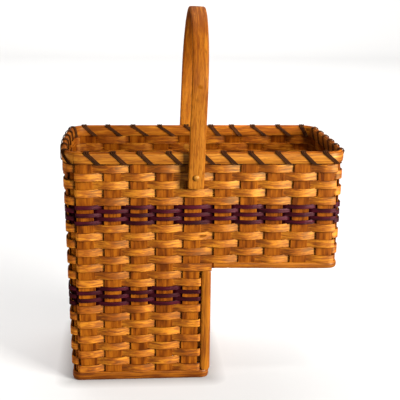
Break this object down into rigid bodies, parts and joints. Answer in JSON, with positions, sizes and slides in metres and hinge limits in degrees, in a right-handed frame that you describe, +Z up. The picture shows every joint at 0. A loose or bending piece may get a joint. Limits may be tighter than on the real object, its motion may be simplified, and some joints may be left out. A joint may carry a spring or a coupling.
{
  "type": "stair basket",
  "caption": "L-shaped woven flat-reed basket that sits across two stair steps, with dark accent bands, a lashed rim and a swinging bentwood handle.",
  "frame": {"origin": "on the floor under the middle of the basket's length and depth", "axes": "+X along the length from the leg to the tread, +Y from front to back, +Z up"},
  "size_m": [0.455, 0.2708, 0.6048],
  "materials": {
    "weaver_reed": "stained flat reed, satin",
    "stake_reed": "stained flat reed, satin",
    "plum_reed": "dyed plum reed, satin",
    "rim_reed": "stained flat-oval reed, satin",
    "lashing_reed": "dark brown dyed lashing",
    "handle_wood": "stained bent hardwood, satin",
    "pin_brass": "aged, domed"
  },
  "bodies": {
    "basket": {"cross_stake_1": "stake_reed", "cross_stake_2": "stake_reed", "cross_stake_3": "stake_reed", "cross_stake_4": "stake_reed", "cross_stake_5": "stake_reed", "cross_stake_6": "stake_reed", "cross_stake_7": "stake_reed", "cross_stake_8": "stake_reed", "cross_stake_9": "stake_reed", "cross_stake_10": "stake_reed", "long_stake_1": "stake_reed", "long_stake_2": "stake_reed", "long_stake_3": "stake_reed", "long_stake_4": "stake_reed", "long_stake_5": "stake_reed", "long_stake_6": "stake_reed", "leg_weaver_1": "weaver_reed", "leg_weaver_2": "weaver_reed", "leg_weaver_3": "weaver_reed", "leg_weaver_4": "weaver_reed", "leg_weaver_5": "weaver_reed", "leg_weaver_6": "weaver_reed", "leg_weaver_7": "weaver_reed", "leg_weaver_8": "weaver_reed", "leg_weaver_9": "weaver_reed", "leg_plum_weaver_1": "plum_reed", "leg_plum_weaver_2": "plum_reed", "leg_plum_weaver_3": "plum_reed", "leg_plum_weaver_4": "plum_reed", "leg_plum_weaver_5": "plum_reed", "leg_upper_weaver_1": "weaver_reed", "leg_upper_weaver_2": "weaver_reed", "step_weaver": "weaver_reed", "middle_weaver_1": "weaver_reed", "middle_weaver_2": "weaver_reed", "middle_weaver_3": "weaver_reed", "middle_weaver_4": "weaver_reed", "middle_weaver_5": "weaver_reed", "plum_weaver_1": "plum_reed", "plum_weaver_2": "plum_reed", "plum_weaver_3": "plum_reed", "plum_weaver_4": "plum_reed", "plum_weaver_5": "plum_reed", "top_weaver_1": "weaver_reed", "top_weaver_2": "weaver_reed", "top_weaver_3": "weaver_reed", "top_weaver_4": "weaver_reed", "top_weaver_5": "weaver_reed", "base_band": "rim_reed", "tread_band": "rim_reed", "riser_strip_front": "rim_reed", "riser_strip_back": "rim_reed", "outer_rim": "rim_reed", "inner_rim": "rim_reed", "rim_filler": "rim_reed", "rim_lashing": "lashing_reed", "pivot_pin_front": "pin_brass", "pivot_pin_back": "pin_brass"},
    "handle": {"handle": "handle_wood"}
  },
  "joints": [
    {"name": "handle_swing", "type": "hinge", "parent": "basket", "child": "handle", "pos_m": [-0.01575, 0, 0.34755], "axis": [0, 1, 0], "range_deg": [-69, 65]}
  ]
}
